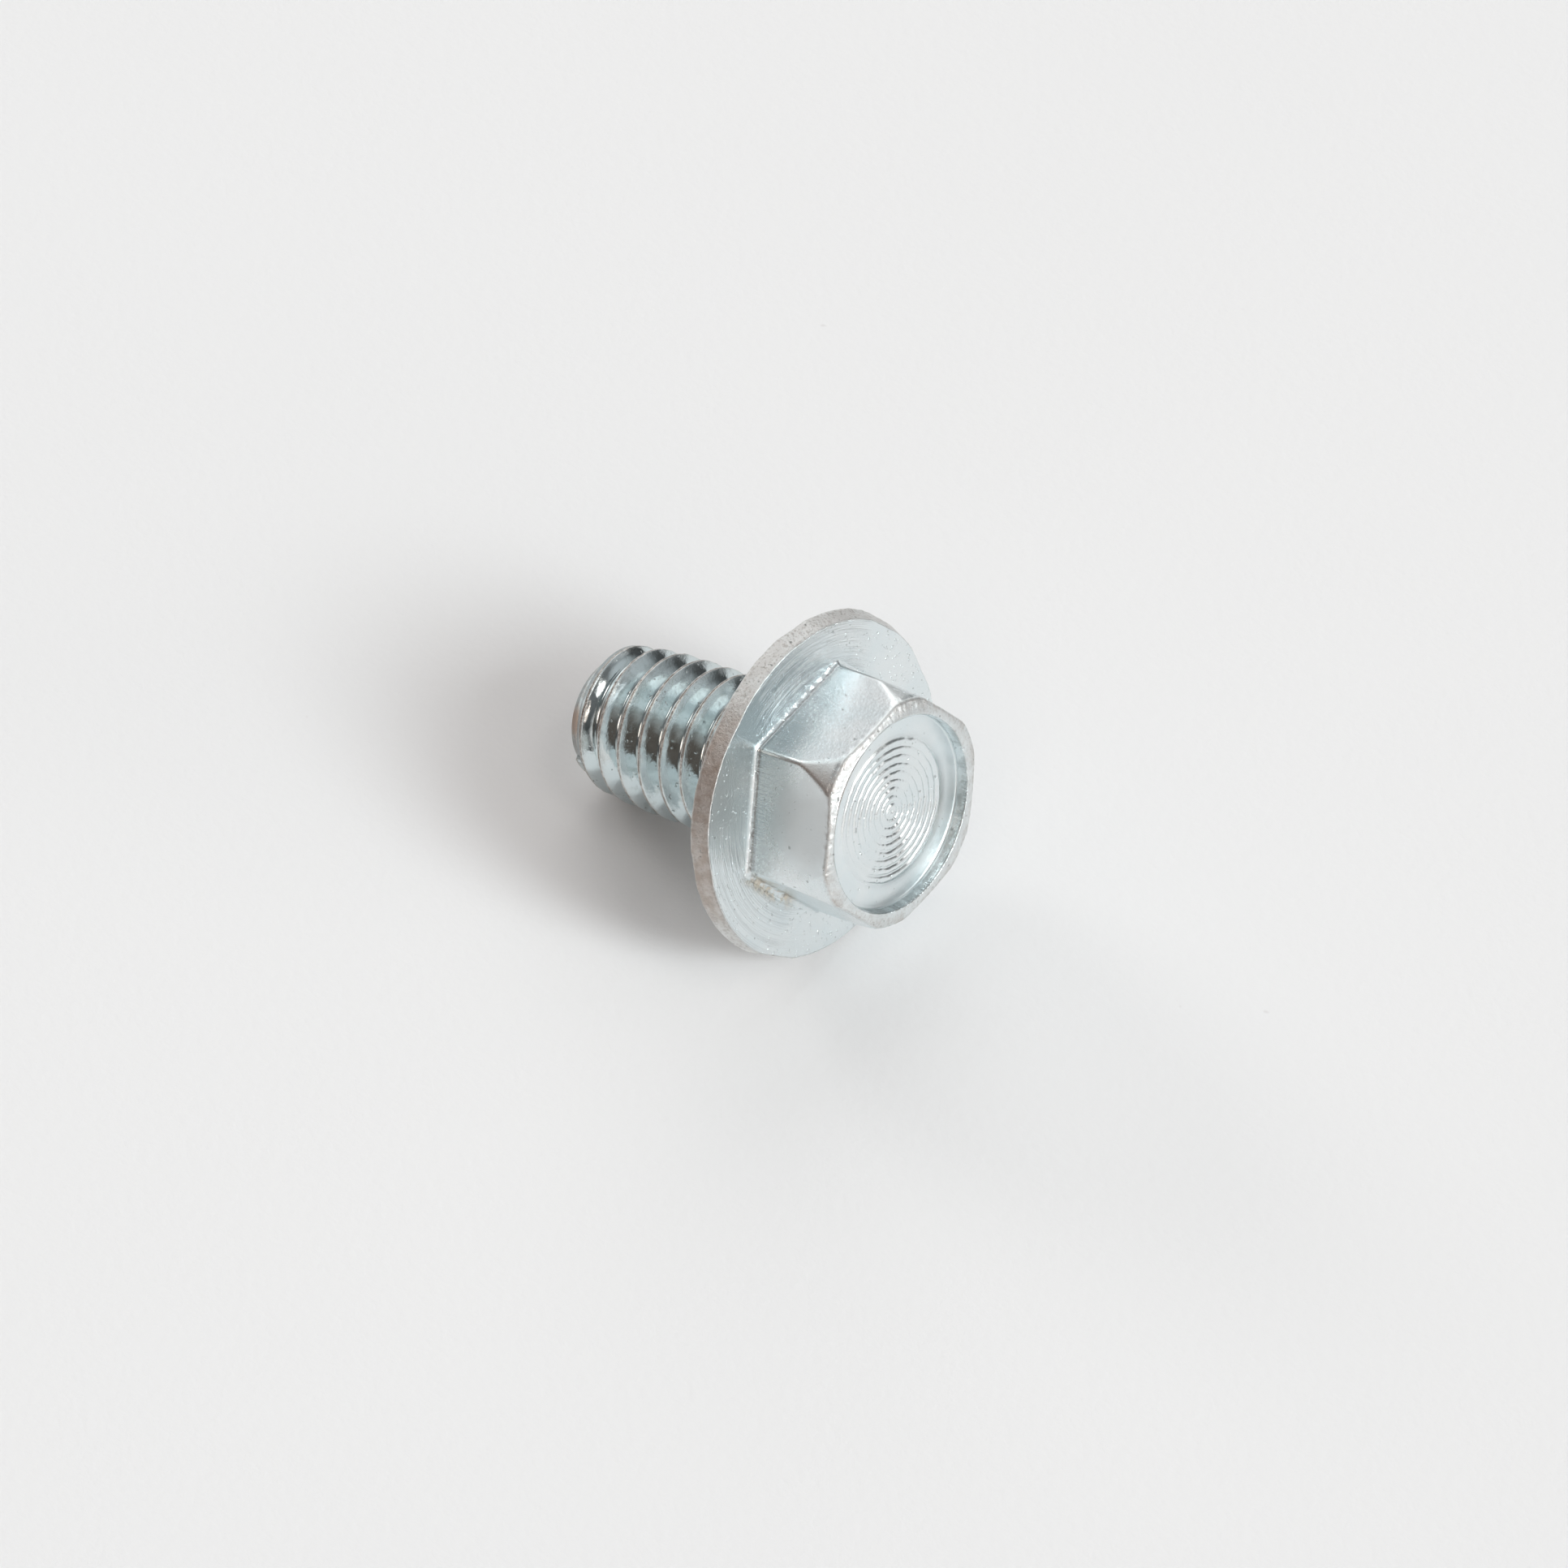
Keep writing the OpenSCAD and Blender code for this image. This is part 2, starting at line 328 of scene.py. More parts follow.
def add_flange_rows(rows, turn, hexagon, rough, bite):
    """Front face of the flange from the foot outwards, its front edge, its conical rim and its back edge."""
    calm = np.clip(np.abs(turned_away(turn, 0)) / np.radians(REST_CALM), 0, 1) ** 2
    rim = rim_offset(turn) * calm
    front = rim + swells(turn, FRONT_SWELLS)
    first = hexagon + FOOT_R + FLAT_LEAN + SUPPORT
    edge_r = FLANGE_R - EDGE_TAPER - FRONT_R
    last = edge_r - SUPPORT + front
    for part in (0, 0.1, 0.25, 0.45, 0.65, 0.85, 1):
        r = first + (last - first) * part
        rows.add(r, FOOT_Z - (FOOT_Z - FLANGE_T) * part, shift=1 - part, flange=1.0)
    corner = arc(edge_r, FLANGE_T - FRONT_R, FRONT_R, 86, 20, 6)
    for i, (r, z) in enumerate(corner):
        share = i / (len(corner) - 1)
        chips = bite(turn) * share * (1.3 - share) * calm
        rows.add(r + front + chips, z + chips, rim=share, flange=1 - share)
    for i, part in enumerate((0.2, 0.4, 0.6, 0.8)):
        lean = EDGE_TAPER * (1 - part)
        r = FLANGE_R - lean + rim * part + front * (1 - part) + rough[i](turn) * calm
        rows.add(r, EDGE_R + (FLANGE_T - FRONT_R - EDGE_R) * (1 - part), rim=1.0)
    for i, (r, z) in enumerate(arc(FLANGE_R - EDGE_R, EDGE_R, EDGE_R, 12, -90, 6)):
        rows.add(r + rim + rough[4](turn) * calm * (i < 4), z, rim=1 - i / 8)
    rows.add(FLANGE_R - EDGE_R - SUPPORT + rim, 0.0, flange=0.8)


def add_neck_rows(rows):
    """Bearing face, the fillet under it and the neck, down to inside the thread."""
    for r in (5.4, 4.6, 3.8, NECK_R + NECK_FILLET + SUPPORT):
        rows.add(r, 0.0, flange=1.0)
    for r, z in arc(NECK_R + NECK_FILLET, -NECK_FILLET, NECK_FILLET, 90, 180, 7):
        rows.add(r, z, thread=1.0)
    rows.add(NECK_R, -NECK_L + 0.2, thread=1.0)
    rows.add((NECK_R + ROOT_R) / 2, -NECK_L, thread=1.0)
    rows.add(ROOT_R - 0.3, -NECK_L - 0.05, thread=1.0)


def add_head(skin):
    """Head from the lip of its recess to the neck, as one turned surface."""
    turn = np.linspace(0, 2 * np.pi, HEAD_STEPS, endpoint=False)
    turn = turn - CORNER_CROWDING * np.sin(6 * (turn - HEX_TURN))
    hexagon = hexagon_r(turn)
    # The last of these six is drawn only to keep the order of the draws
    rough = [waves(*RIM_ROUGHNESS) for _ in range(6)]
    bite = waves(*RIM_BITES)
    drop = waves(*LEDGE_DROP)(turn)
    uneven = waves(*FOOT_UNEVENNESS)(turn)
    rows = Rows()
    add_hexagon_rows(rows, hexagon, drop, uneven)
    add_flange_rows(rows, turn, hexagon, rough, bite)
    add_neck_rows(rows)
    rows.into(skin, turn)


def thread_form():
    """One pitch of the rolled thread, root first, as distance along the axis and depth below the crest."""
    root_r = PITCH * 0.1443
    sag = root_r - np.sqrt(root_r ** 2 - (PITCH / 16) ** 2)
    slope = np.tan(np.radians(60))
    mid = PITCH * 0.27
    rise = [
        (0, ROOT_DEPTH),
        (PITCH / 16, ROOT_DEPTH - sag),
        (PITCH / 8, FLANK_DEPTH),
        (mid, FLANK_DEPTH - (mid - PITCH / 8) * slope),
        (PITCH * 0.405, (PITCH * 7 / 16 - PITCH * 0.405) * slope),
        (PITCH * 0.428, 0.020),
        (PITCH * 0.448, 0.002),
        (PITCH * 0.474, 0.002),
        (PITCH * 0.492, 0.022),
    ]
    fall = [(PITCH - s, depth) for s, depth in rise[:0:-1]]
    return rise + [(PITCH / 2, 0.034)] + fall


def thread_points(form):
    """How many rows the thread has along its helix, and a function for its points by row and form column."""
    end = SHANK_L - NECK_L - THREAD_GAP - PITCH
    rows = int(TURN_STEPS * (end - THREAD_START) / PITCH)
    ragged = waves(*CREST_RAGGEDNESS)
    dip = waves(*CREST_DIP)

    def at_row(i, k):
        s = THREAD_START + PITCH * i / TURN_STEPS + form[k][0]
        # At the tip the columns keep apart instead of falling below the end face
        s = np.maximum(s, TIP_SPREAD / len(form) * (k + 1))
        along = 2 * np.pi * i / rows
        depth = form[k][1]
        if depth < CREST_DEPTH:
            depth = depth * np.clip(1 + dip(along), 0.2, 2) + ragged(along)
        lead = THREAD_R - depth * (depth < RAGGED_DEPTH) - LEAD_DROP * np.maximum(0, 1 - s / LEAD_L) ** 2
        runout = THREAD_R - (THREAD_R - NECK_R) * np.clip((i - rows) / (TURN_STEPS / 2) + 1, 0, 1)
        r = np.minimum(np.minimum(THREAD_R - depth, lead), np.minimum(TIP_R + TIP_SLOPE * s, runout))
        # The first crest grows out of the tip over half a turn
        grown = np.clip(2 * i / TURN_STEPS, 0, 1)
        tip_limit = np.minimum(ROOT_R, TIP_R + TIP_SLOPE * s)
        r = np.minimum(r, tip_limit + (THREAD_R - ROOT_R) * grown ** 2 * (3 - 2 * grown))
        turn = 2 * np.pi * i / TURN_STEPS + THREAD_TURN
        return np.stack([r * np.cos(turn), r * np.sin(turn), s - SHANK_L], -1)

    return rows, at_row


def thread_ring(r, z, from_row):
    """One closed ring of points at a radius and height, in step with the rows of the thread."""
    turn = 2 * np.pi * (from_row + np.arange(TURN_STEPS)) / TURN_STEPS + THREAD_TURN
    return np.stack([r * np.cos(turn), r * np.sin(turn), np.full(TURN_STEPS, z)], 1)


def thread_faces(rows, columns):
    """Faces over the thread's grid, its last edge, and the rings at its tip, end face, dish and top."""
    edge_at = (rows + 1) * columns
    tip_at = edge_at + TURN_STEPS
    face_at = tip_at + TURN_STEPS
    dish_at = face_at + TURN_STEPS
    top_at = dish_at + TURN_STEPS

    def number(i, k):
        """Number of the point at a row and column, where the last column is the first one a turn later."""
        i = np.asarray(i)
        if k == columns:
            i, k = i + TURN_STEPS, 0
        return np.where(i > rows, edge_at + i - rows - 1, i * columns + k)

    here = np.arange(rows)
    after = here + 1
    faces = [np.stack([number(here, k), number(after, k), number(after, k + 1), number(here, k + 1)], 1)
             for k in range(columns)]
    j = np.arange(TURN_STEPS)
    k = (j + 1) % TURN_STEPS
    faces.append(np.stack([tip_at + j, tip_at + k, number(j + 1, 0), number(j, 0)], 1))
    faces.append(np.stack([face_at + j, face_at + k, tip_at + k, tip_at + j], 1))
    faces.append(np.stack([dish_at + j, dish_at + k, face_at + k, face_at + j], 1))
    faces.append(np.stack([number(rows + j, 0), number(rows + j + 1, 0), top_at + k, top_at + j], 1))
    # Small walls where the form begins at the tip and ends at the neck
    walls = [[tip_at, int(number(0, k)), int(number(0, k + 1))] for k in range(columns)]
    walls += [[top_at, int(number(rows, k + 1)), int(number(rows, k))] for k in range(columns)]
    return np.concatenate(faces).tolist() + walls


def add_thread(skin):
    """Rolled thread as a grid along its helix, its tip, and its run-out into the neck."""
    form = thread_form()
    columns = len(form)
    rows, at_row = thread_points(form)
    i = np.arange(rows + 1)
    grid = np.stack([at_row(i, k) for k in range(columns)], 1).reshape(-1, 3)
    edge = at_row(np.arange(rows + 1, rows + TURN_STEPS + 1), 0)
    tip = thread_ring(TIP_R, -SHANK_L, 0)
    face = thread_ring(TIP_R - FACE_EDGE_W, -SHANK_L, 0)
    dish = thread_ring(DISH_R, -SHANK_L + DISH_EDGE_DEPTH, 0)
    top = thread_ring(ROOT_R - 0.02, -NECK_L + 0.1, rows)
    points = np.concatenate([grid, edge, tip, face, dish, top])
    crest = np.zeros(len(points))
    crest[:len(grid)] = np.tile([np.exp(-(s / PITCH - 0.5) ** 2 / 0.006) for s, _ in form], rows + 1)
    skin.add(points, thread_faces(rows, columns), crest=crest, thread=1.0)
    middle = [[0, 0, -SHANK_L + DISH_DEPTH]]
    j = np.arange(TURN_STEPS)
    fan = np.stack([(j + 1) % TURN_STEPS, j, np.full(TURN_STEPS, TURN_STEPS)], 1)
    skin.add(np.concatenate([dish, middle]), fan, thread=1.0)


def lay_down(points):
    """The screw's own frame turned to how it lies, in metres, with nothing below the floor."""
    s, c = np.sin(TILT), np.cos(TILT)
    x, y, z = points.T
    laid = np.stack([REST_X + s * x + c * z, y, np.maximum(REST_Z - c * x + s * z, 0)], 1)
    return laid * MM


def screw_object():
    """The screw as one mesh with its masks and its own coordinates stored on the points."""
    skin = Skin()
    add_recess(skin)
    add_head(skin)
    add_thread(skin)
    own = np.concatenate(skin.points)
    mesh = bpy.data.meshes.new("screw_body")
    mesh.from_pydata(lay_down(own).tolist(), [], skin.faces)
    mesh.polygons.foreach_set("use_smooth", np.ones(len(mesh.polygons), bool))
    attribute = mesh.attributes.new("own", "FLOAT_VECTOR", "POINT")
    attribute.data.foreach_set("vector", own.astype(np.float32).ravel())
    for name in MASKS:
        attribute = mesh.attributes.new(name, "FLOAT", "POINT")
        attribute.data.foreach_set("value", np.concatenate(skin.masks[name]).astype(np.float32))
    mesh.update()
    obj = bpy.data.objects.new("screw_body", mesh)
    bpy.context.collection.objects.link(obj)
    return obj


class Nodes:
    """Short ways to add and link shader nodes."""

    def __init__(self, tree):
        self.tree = tree

    def new(self, kind, **settings):
        node = self.tree.nodes.new(kind)
        for key, value in settings.items():
            setattr(node, key, value)
        return node

    def put(self, socket, value):
        if hasattr(value, "is_output"):
            self.tree.links.new(value, socket)
        else:
            socket.default_value = value

    def math(self, operation, a, b=0.0, clamp=False):
        node = self.new("ShaderNodeMath", operation=operation, use_clamp=clamp)
        self.put(node.inputs[0], a)
        self.put(node.inputs[1], b)
        return node.outputs[0]

    def plus(self, a, b, clamp=False):
        return self.math("ADD", a, b, clamp)

    def minus(self, a, b):
        return self.math("SUBTRACT", a, b)

    def times(self, a, *others):
        for b in others:
            a = self.math("MULTIPLY", a, b)
        return a

    def larger(self, a, b):
        return self.math("MAXIMUM", a, b)

    def vector(self, operation, a, b=(0, 0, 0)):
        node = self.new("ShaderNodeVectorMath", operation=operation)
        self.put(node.inputs[0], a)
        self.put(node.inputs[1], b)
        return node.outputs["Value" if operation in ("DOT_PRODUCT", "LENGTH") else "Vector"]

    def ramp(self, value, low, high, to_low=0.0, to_high=1.0):
        node = self.new("ShaderNodeMapRange", interpolation_type="SMOOTHSTEP")
        for socket, number in zip(node.inputs, (value, low, high, to_low, to_high)):
            self.put(socket, number)
        return node.outputs["Result"]

    def noise(self, vector, scale, detail=4.0, roughness=0.6):
        node = self.new("ShaderNodeTexNoise")
        self.put(node.inputs["Vector"], vector)
        self.put(node.inputs["Scale"], scale)
        self.put(node.inputs["Detail"], detail)
        self.put(node.inputs["Roughness"], roughness)
        return node.outputs["Fac"]

    def mix(self, share, a, b, blend="MIX"):
        node = self.new("ShaderNodeMix", data_type="RGBA", blend_type=blend)
        for name, value in (("Factor_Float", share), ("A_Color", a), ("B_Color", b)):
            self.put(next(s for s in node.inputs if s.identifier == name), value)
        return next(s for s in node.outputs if s.identifier == "Result_Color")

    def apart(self, vector, place):
        return self.vector("LENGTH", self.vector("SUBTRACT", vector, place))

    def cylinder(self, around, own):
        """Distance from the axis and angle around it."""
        split = self.new("ShaderNodeSeparateXYZ")
        self.put(split.inputs[0], own)
        joined = self.new("ShaderNodeCombineXYZ")
        self.put(joined.inputs[0], around)
        self.put(joined.inputs[1], self.math("ARCTAN2", split.outputs[0], split.outputs[1]))
        return joined.outputs[0]

    def attribute(self, name, output="Fac"):
        return self.new("ShaderNodeAttribute", attribute_name=name).outputs[output]

    def bump(self, height, distance, normal=None):
        node = self.new("ShaderNodeBump")
        self.put(node.inputs["Height"], height)
        self.put(node.inputs["Distance"], distance)
        self.put(node.inputs["Strength"], 1.0)
        if normal is not None:
            self.put(node.inputs["Normal"], normal)
        return node.outputs["Normal"]


# Places in the screw's own frame: the dull flat, the turned marks, and the part of the flange darkened with
# painted shade
DULL_PLACE = (-1.7, -3.6, 3.4)
TURNED_PLACES = ((1.9, -5.3, 0.7), (-5.3, 1.6, 0.7))
# Middle of the painted shade on the flange
PAINTED_SHADE_PLACE = (-5.0, -2.2, 0.7)
# Brown part of the rim, dirt along the foot of a flat with the way that flat faces, and a painted reflection
# at the tip
BROWN_PLACE = (-2.4, -5.9, 0.35)
DIRT_PLACE = (1.9, -3.9, 0.75)
DIRT_SIDE = (0.5736, -0.8192, 0.0)
# Middle of the reddish-brown painted reflection at the tip
TIP_REFLECTION_PLACE = (-1.2, -2.1, -9.3)

# Colours of the metal, of what lies on it, and of the painted shade and painted reflection
ZINC_COOL = (0.78, 0.85, 0.868, 1)
ZINC_PALE = (0.825, 0.875, 0.885, 1)
THREAD_ZINC = (0.62, 0.70, 0.715, 1)
THREAD_SHADE = (0.42, 0.48, 0.47, 1)
DULL_GREY = (0.58, 0.60, 0.60, 1)
TURNED_GREY = (0.50, 0.54, 0.55, 1)
WALL_GREY = (0.42, 0.46, 0.46, 1)
# Darker teal of the painted shade on the flange
FLANGE_PAINTED_SHADE = (0.56, 0.64, 0.66, 1)
WORN_GREY = (0.72, 0.71, 0.69, 1)
WORN_BROWN = (0.44, 0.36, 0.31, 1)
DIRT_DARK = (0.34, 0.30, 0.25, 1)
DIRT_TAN = (0.66, 0.57, 0.44, 1)
STAIN_BROWN = (0.38, 0.30, 0.25, 1)
GRIT_BROWN = (0.36, 0.33, 0.30, 1)
CREST_BROWN = (0.30, 0.25, 0.21, 1)
CREST_PALE = (0.66, 0.64, 0.61, 1)
TIP_GREY = (0.46, 0.43, 0.40, 1)
# Reddish brown of the painted reflection at the tip
PAINTED_REFLECTION_RED = (0.42, 0.26, 0.17, 1)
PIT_DARK = (0.22, 0.23, 0.22, 1)


def zinc_patterns(n, own, flange):
    """Noise patterns and measures that the wear and the painted shade are made from, in millimetres of the
    screw's own frame.
    """
    p = SimpleNamespace()
    p.cloud = n.noise(own, 0.55, 3.0)
    p.patch = n.noise(own, 1.6, 5.0, 0.65)
    p.ripple = n.noise(own, 2.6, 2.0, 0.5)
    p.grain = n.noise(own, 9.0, 4.0, 0.7)
    p.speck = n.noise(own, 5.5, 2.0, 0.5)
    p.burr = n.noise(own, 6.5, 1.0, 0.5)
    p.drawn = n.noise(n.vector("MULTIPLY", own, (9.0, 9.0, 0.7)), 1.0, 3.0)
    p.around = n.vector("LENGTH", n.vector("MULTIPLY", own, (1, 1, 0)))
    p.height = n.vector("DOT_PRODUCT", own, (0, 0, 1))
    turned = n.noise(n.vector("MULTIPLY", n.cylinder(p.around, own), (7.0, 0.35, 0.0)), 1.0, 4.0, 0.75)
    worked = n.larger(*(n.ramp(n.apart(own, place), 5.0, 2.2) for place in TURNED_PLACES))
    p.turned = n.times(turned, flange, worked)
    return p


def zinc_wear(n, own, on, p):
    """How much each kind of wear shows, and where the painted shade and the painted reflection lie, from the
    regions and the patterns.
    """
    w = SimpleNamespace()
    # Bare metal and brown stain gather on the rim, the edges of the hexagon and the crests
    bare = n.plus(n.times(on.rim, 0.9), n.times(on.edges, 0.7))
    w.bare = n.plus(bare, n.times(on.crest, 0.8), clamp=True)
    w.stain = n.times(w.bare, n.ramp(p.patch, 0.40, 0.62))
    w.pits = n.times(n.ramp(p.speck, 0.68, 0.74), n.plus(n.times(w.bare, 0.4), 0.6))
    w.burrs = n.times(n.ramp(p.burr, 0.67, 0.73), on.flange, n.ramp(p.cloud, 0.40, 0.52))
    w.dull = n.times(n.ramp(n.plus(n.apart(own, DULL_PLACE), p.patch), 3.0, 1.2), on.flats)
    # Painted shade: the flange is darkened in a patchy spot around one place
    w.dark = n.times(n.ramp(n.plus(n.apart(own, PAINTED_SHADE_PLACE), p.patch), 3.6, 1.4), on.flange)
    w.brown = n.ramp(n.apart(own, BROWN_PLACE), 5.5, 2.0)
    # Painted reflection: a reddish-brown spot at the tip, on the side where the thread mirrors brown light
    w.rust = n.times(n.ramp(n.apart(own, TIP_REFLECTION_PLACE), 0.9, 0.3), on.thread)
    # Parts of a region: wall and plain floor of the recess, edges of the rim, and end of the shank
    w.wall = n.times(on.recess, n.ramp(p.height, RECESS_Z + 0.06, RECESS_Z + 0.14))
    w.plain = n.times(n.minus(on.recess, w.wall), n.ramp(p.around, RINGS_R - 0.05, RINGS_R + 0.1))
    w.seam = n.times(on.rim, n.minus(1.0, on.rim), 4.0)
    w.tip = n.times(on.thread, n.ramp(p.height, -8.3, -9.1))
    # Dirt lies along the foot of one flat, on the front of the flange only
    outside = n.minus(n.vector("DOT_PRODUCT", own, DIRT_SIDE), HEX_AF / 2)
    low = n.ramp(p.height, FOOT_Z + 0.5, FOOT_Z + 0.1)
    in_front = n.ramp(p.height, FOOT_Z - 0.4, FOOT_Z - 0.2)
    near = n.ramp(n.apart(own, DIRT_PLACE), 1.9, 0.9)
    w.dirt = n.times(n.ramp(outside, 0.60, 0.20), low, near, n.ramp(p.patch, 0.40, 0.52), in_front)
    return w


def zinc_color(n, on, p, w):
    """Colour of the plate: the zinc, then layer over layer of wear, painted shade on the flange and a painted
    reflection at the tip.
    """
    worn = n.mix(w.brown, WORN_GREY, WORN_BROWN)
    dirt = n.mix(n.ramp(p.speck, 0.42, 0.56), DIRT_DARK, DIRT_TAN)
    crest = n.mix(n.ramp(p.speck, 0.45, 0.60), CREST_BROWN, CREST_PALE)
    stained = n.plus(n.times(n.larger(w.brown, on.edges), 0.55), 0.15)
    layers = (
        (n.times(on.thread, 0.9), THREAD_ZINC),
        (n.times(on.thread, n.ramp(p.patch, 0.50, 0.66, 0.0, 0.5)), THREAD_SHADE),
        (n.times(w.dull, 0.7), DULL_GREY),
        (n.ramp(p.turned, 0.44, 0.60, 0.0, 0.35), TURNED_GREY),
        (n.times(w.wall, n.ramp(p.patch, 0.42, 0.58, 0.0, 0.6)), WALL_GREY),
        # Painted shade on part of the flange
        (n.times(w.dark, 0.7), FLANGE_PAINTED_SHADE),
        (n.times(w.bare, 0.75), worn),
        (n.times(w.dirt, 0.8), dirt),
        (n.times(w.stain, stained), STAIN_BROWN),
        (n.times(n.larger(on.rim, on.edges), n.ramp(p.grain, 0.50, 0.62, 0.0, 0.5)), GRIT_BROWN),
        (n.ramp(on.crest, 0.55, 0.95, 0.0, 0.7), crest),
        (n.times(w.tip, n.ramp(p.patch, 0.46, 0.62, 0.0, 0.6)), TIP_GREY),
        # Painted reflection at the tip
        (n.times(w.rust, 0.8), PAINTED_REFLECTION_RED),
        (n.times(w.pits, 0.75), PIT_DARK),
    )
    color = n.mix(n.ramp(p.cloud, 0.35, 0.65), ZINC_COOL, ZINC_PALE)
    for share, layer in layers:
        color = n.mix(share, color, layer)
    return color


def zinc_roughness(n, on, p, w):
    """Roughness of the plate: a fine grain, duller where it is worn, bright in the thread."""
    rough = n.plus(0.20, n.times(n.minus(p.grain, 0.5), 0.10))
    rough = n.plus(rough, n.times(w.bare, 0.20))
    rough = n.plus(rough, n.times(n.plus(on.flats, w.dull), 0.06))
    # Rougher also on the edges and on the spot of painted reflection at the tip
    rough = n.plus(rough, n.times(n.plus(on.edges, w.rust), 0.12))
    rough = n.plus(rough, n.times(n.plus(w.plain, w.tip), 0.15))
    rough = n.minus(rough, n.times(on.thread, 0.13))
    return n.larger(rough, 0.05)


def zinc_relief(n, on, p, w):
    """Fine relief of the plate as one bump over another, each with its height in millimetres."""
    foot = n.ramp(p.height, FOOT_Z + 1.2, FOOT_Z + 0.1)
    reliefs = (
        (n.times(p.grain, n.ramp(on.thread, 0.0, 1.0, 1.0, 0.3)), 0.007),
        (n.times(p.ripple, on.thread), 0.008),
        (n.times(p.grain, n.plus(w.bare, w.seam)), 0.03),
        (n.times(p.patch, n.plus(on.flange, w.tip)), 0.012),
        (n.times(p.drawn, w.wall), 0.04),
        (p.turned, 0.045),
        (n.times(p.drawn, on.flats, foot), 0.02),
        (n.minus(w.burrs, w.pits), 0.025),
    )
    normal = None
    for height, size in reliefs:
        normal = n.bump(height, size * MM, normal)
    return normal


def zinc_material():
    """Bright zinc plate: faint blue cast, fine grain, turned and drawn marks, pits, brown stain, painted
    shade on the flange and a painted reflection at the tip.
    """
    material = bpy.data.materials.new("zinc_plate")
    material.use_nodes = True
    n = Nodes(material.node_tree)
    shader = material.node_tree.nodes["Principled BSDF"]
    own = n.attribute("own", "Vector")
    on = SimpleNamespace(**{name: n.attribute(name) for name in MASKS})
    patterns = zinc_patterns(n, own, on.flange)
    wear = zinc_wear(n, own, on, patterns)
    n.put(shader.inputs["Base Color"], zinc_color(n, on, patterns, wear))
    n.put(shader.inputs["Roughness"], zinc_roughness(n, on, patterns, wear))
    n.put(shader.inputs["Normal"], zinc_relief(n, on, patterns, wear))
    shader.inputs["Metallic"].default_value = 1.0
    return material


def paper_material():
    """Pale matt paper with a faint tone and a few tiny specks, patterns in metres."""
    material = bpy.data.materials.new("pale_paper")
    material.use_nodes = True
    n = Nodes(material.node_tree)
    shader = material.node_tree.nodes["Principled BSDF"]
    place = n.new("ShaderNodeTexCoord").outputs["Object"]
    tone = n.noise(place, 25.0, 2.0)
    specks = n.ramp(n.noise(place, 900.0, 1.0), 0.80, 0.84)
    color = n.mix(tone, (0.84, 0.845, 0.852, 1), (0.86, 0.865, 0.872, 1))
    color = n.mix(specks, color, (0.72, 0.71, 0.71, 1))
    n.put(shader.inputs["Base Color"], color)
    shader.inputs["Roughness"].default_value = 0.9
    shader.inputs["Specular IOR Level"].default_value = 0.1
    fibre = n.noise(place, 2500.0, 3.0)
    n.put(shader.inputs["Normal"], n.bump(fibre, 0.02 * MM))
    return material


def floor_object():
    """Wide pale floor under the screw."""
    half = 1.5
    corners = [(-half, -half, 0), (half, -half, 0), (half, half, 0), (-half, half, 0)]
    mesh = bpy.data.meshes.new("floor")
    mesh.from_pydata(corners, [], [(0, 1, 2, 3)])
    obj = bpy.data.objects.new("floor", mesh)
    bpy.context.collection.objects.link(obj)
    obj.data.materials.append(paper_material())
    return obj


# Light of the dome at the horizon and overhead
HORIZON = (0.08, 0.08, 0.08)
OVERHEAD = (0.18, 0.18, 0.18)
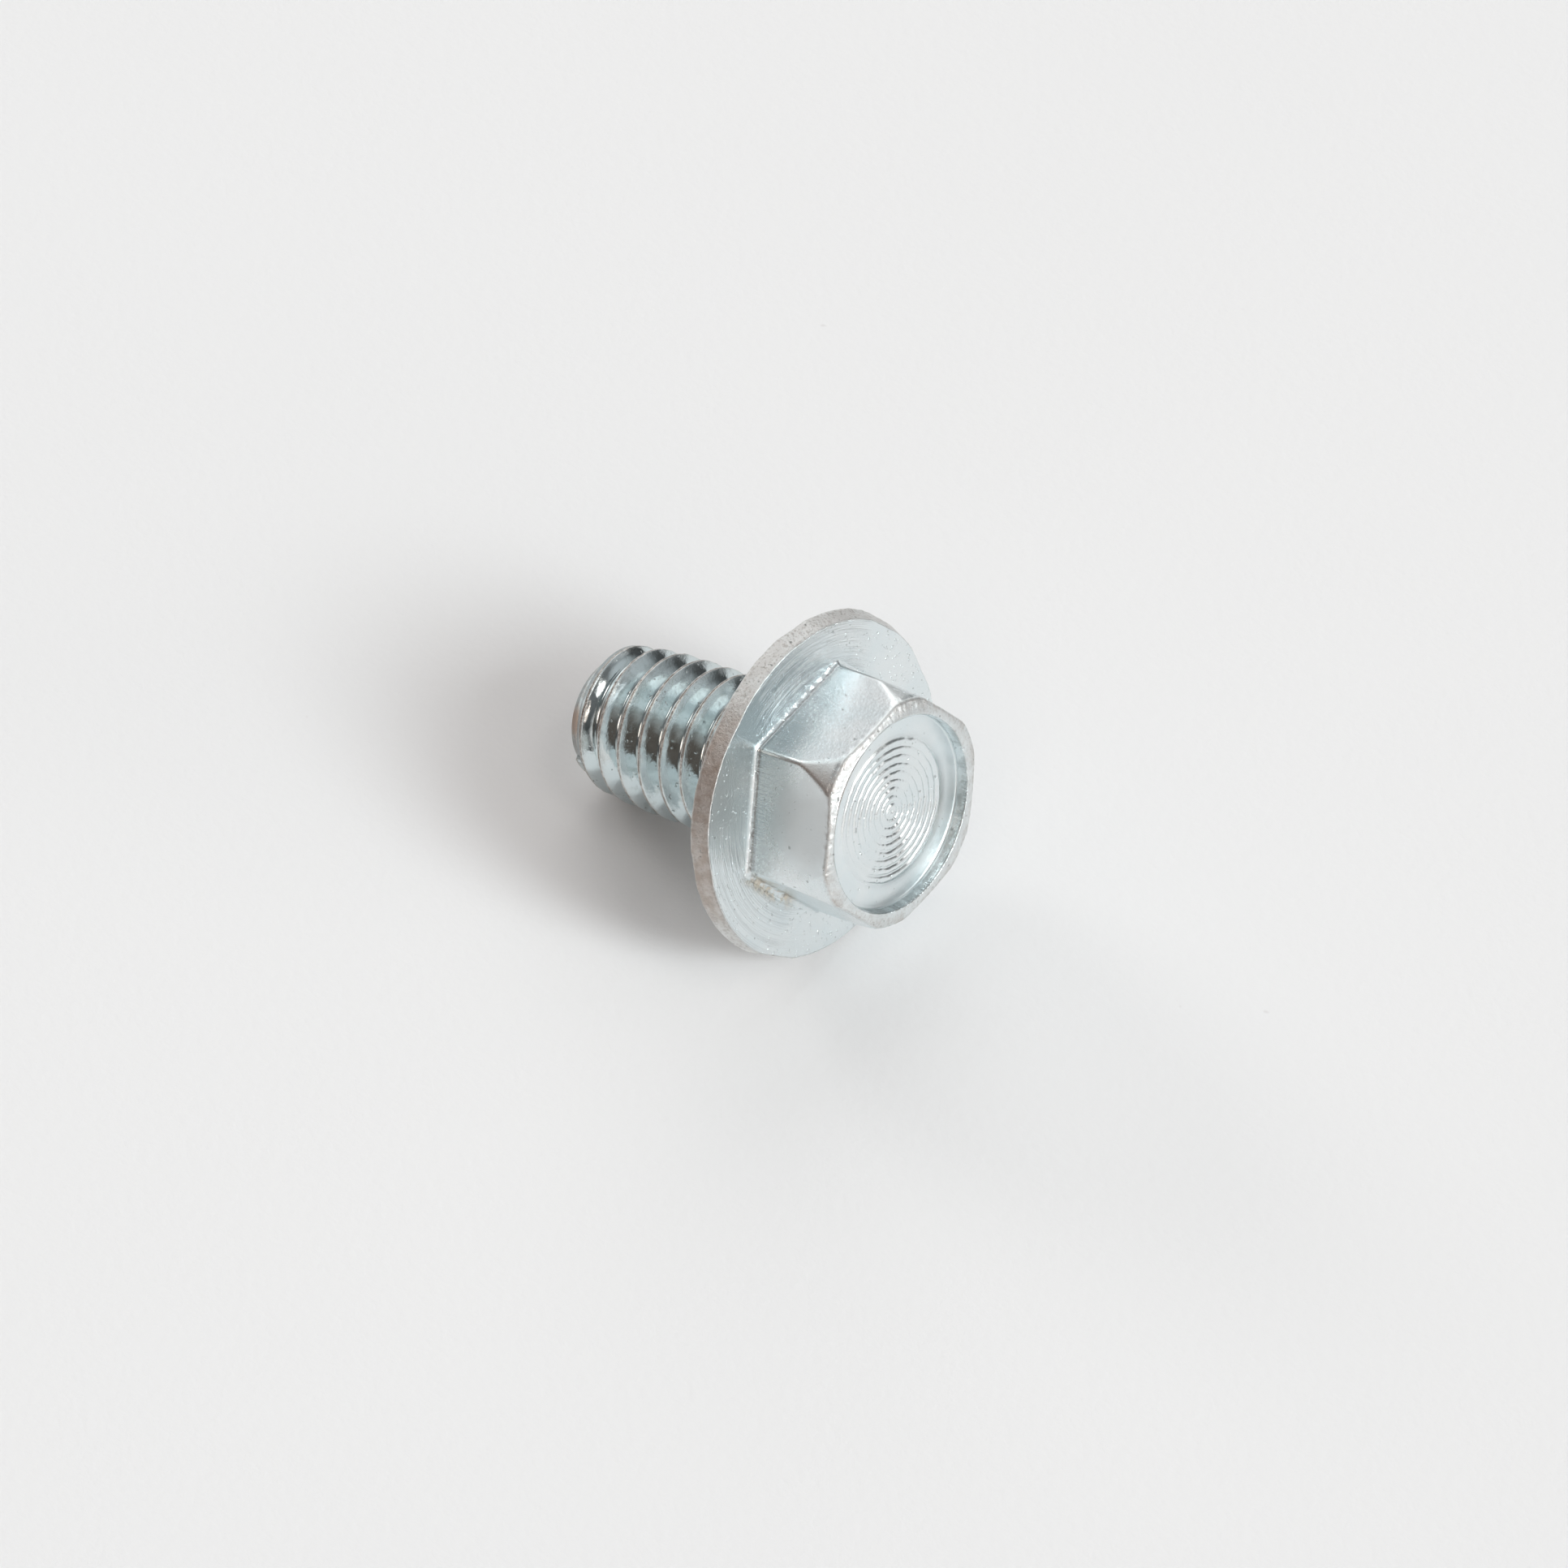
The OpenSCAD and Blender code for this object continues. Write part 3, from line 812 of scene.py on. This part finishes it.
# Softboxes and pale walls on the dome as azimuth, elevation, inner and outer half angle in degrees, and light
SOFTBOXES = (
    (4, 37, 3, 13, (15.6, 16.5, 16.7)),
    (4, 37, 8, 23, (1.55, 1.62, 1.65)),
    (-16, 19, 15, 32, (0.94, 0.88, 0.85)),
    (125, 33, 6, 31, (1.56, 1.52, 1.5)),
    (177, 24, 3, 13, (4.9, 4.7, 4.55)),
    (-74, 47, 5, 13, (2.4, 1.98, 1.75)),
    (0, 70, 3, 13, (2.82, 2.67, 2.55)),
    (-62, 9, 5, 19, (0.54, 0.54, 0.52)),
    (23, 16, 4, 13, (2.3, 2.15, 2.08)),
    (174, 53, 5, 33, (0.64, 0.66, 0.66)),
    (59, 41, 4, 32, (0.42, 0.44, 0.45)),
    (153, 26, 8, 20, (0.07, 0.07, 0.08)),
    (-145, 52, 5, 28, (0.30, 0.28, 0.27)),
    (-120, 15, 15, 50, (0.10, 0.055, 0.035)),
)


def direction(azimuth, elevation):
    """Unit vector towards a place in the sky, in degrees from +X and above the floor."""
    a, e = np.radians(azimuth), np.radians(elevation)
    return (np.cos(a) * np.cos(e), np.sin(a) * np.cos(e), np.sin(e))


def studio_light():
    """A dim grey dome with softboxes and pale walls around the screw."""
    world = bpy.data.worlds.new("studio")
    bpy.context.scene.world = world
    world.use_nodes = True
    n = Nodes(world.node_tree)
    back = world.node_tree.nodes["Background"]
    ray = n.new("ShaderNodeTexCoord").outputs["Generated"]
    up = n.ramp(n.vector("DOT_PRODUCT", ray, (0, 0, 1)), 0.4, 1.0)
    light = n.mix(up, HORIZON + (1,), OVERHEAD + (1,))
    for azimuth, elevation, inner, outer, color in SOFTBOXES:
        facing = n.vector("DOT_PRODUCT", ray, direction(azimuth, elevation))
        share = n.ramp(facing, np.cos(np.radians(outer)), np.cos(np.radians(inner)))
        light = n.mix(share, light, color + (1,), "ADD")
    n.put(back.inputs["Color"], light)
    back.inputs["Strength"].default_value = 1.0


def photo_camera():
    """Camera at the photograph's viewing angle: looking down on the head, slightly rolled."""
    data = bpy.data.cameras.new("camera")
    data.sensor_width = 36.0
    data.lens = 164.93
    data.clip_start = 0.01
    data.clip_end = 10.0
    obj = bpy.data.objects.new("camera", data)
    bpy.context.collection.objects.link(obj)
    right = (0.77816, 0.62149, 0.09067)
    up = (-0.53376, 0.57831, 0.61698)
    back = (0.33101, -0.52850, 0.78174)
    place = np.array([85.833, -135.357, 205.092]) * MM
    turned = [(right[i], up[i], back[i], place[i]) for i in range(3)]
    obj.matrix_world = Matrix(turned + [(0, 0, 0, 1)])
    bpy.context.scene.camera = obj


screw = screw_object()
screw.data.materials.append(zinc_material())
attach(screw, "root")
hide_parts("screw")
floor_object()
studio_light()
photo_camera()
bpy.context.scene.view_settings.view_transform = "Standard"
